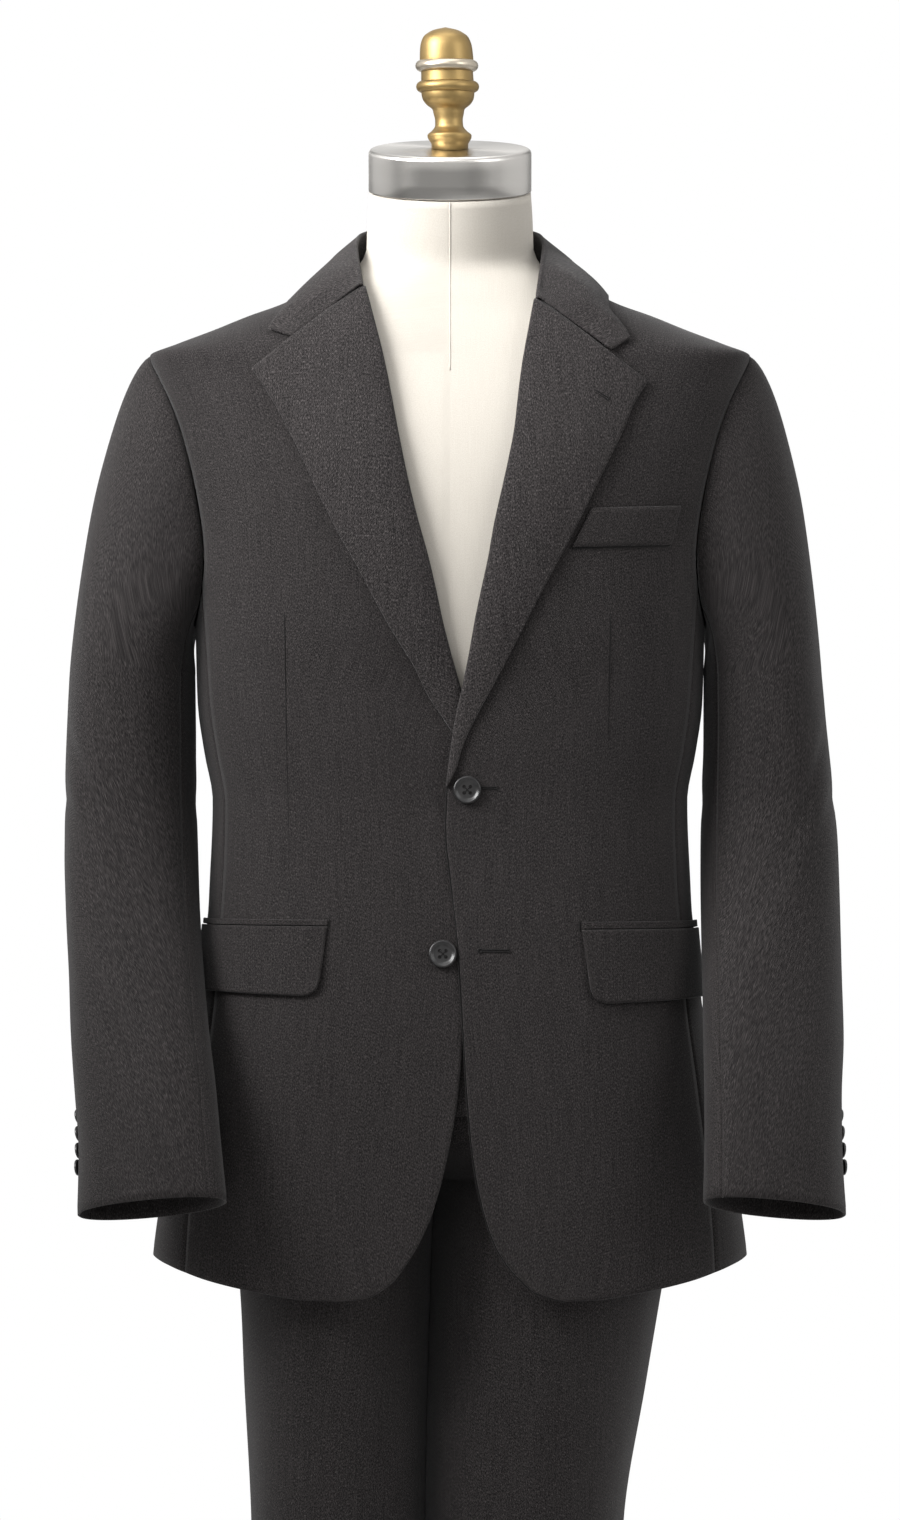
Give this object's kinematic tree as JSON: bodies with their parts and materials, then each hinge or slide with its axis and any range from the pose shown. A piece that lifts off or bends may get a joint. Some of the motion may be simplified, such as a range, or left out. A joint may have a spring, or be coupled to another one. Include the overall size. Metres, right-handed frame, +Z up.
{
  "type": "two-piece suit on a limbless dress form",
  "caption": "Single-breasted notch-lapel suit jacket and plain trousers worn by a limbless linen dress form on an offset pole and round base.",
  "frame": {"origin": "middle of the round base's underside", "axes": "+Z up; the suit faces -Y; +X is the wearer's left, the right of the picture"},
  "size_m": [0.5538, 0.38, 1.6146],
  "materials": {
    "suiting": "charcoal heathered worsted wool",
    "dark_horn": "dark horn-look four-hole buttons",
    "linen": "natural linen stretched over the form",
    "brushed_steel": "brushed neck cap",
    "antique_brass": "turned, antiqued finial",
    "stand_metal": "satin steel pole, socket and base"
  },
  "bodies": {
    "root": {"front_left": "suiting", "front_right": "suiting", "side_left": "suiting", "side_right": "suiting", "back_left": "suiting", "back_right": "suiting", "lapel_left": "suiting", "lapel_right": "suiting", "pocket_flap_left": "suiting", "pocket_flap_right": "suiting", "pocket_jet_left": "suiting", "pocket_jet_right": "suiting", "sleeve_upper_left": "suiting", "sleeve_upper_right": "suiting", "sleeve_under_left": "suiting", "sleeve_under_right": "suiting", "trouser_front_left": "suiting", "trouser_front_right": "suiting", "trouser_back_left": "suiting", "trouser_back_right": "suiting", "collar": "suiting", "chest_welt": "suiting", "waistband": "suiting", "fly": "suiting", "button_upper": "dark_horn", "button_lower": "dark_horn", "cuff_button_left_1": "dark_horn", "cuff_button_left_2": "dark_horn", "cuff_button_left_3": "dark_horn", "cuff_button_left_4": "dark_horn", "cuff_button_right_1": "dark_horn", "cuff_button_right_2": "dark_horn", "cuff_button_right_3": "dark_horn", "cuff_button_right_4": "dark_horn", "form_torso": "linen", "neck_cap": "brushed_steel", "finial": "antique_brass", "pole": "stand_metal", "base": "stand_metal", "pole_socket": "stand_metal"}
  },
  "joints": []
}
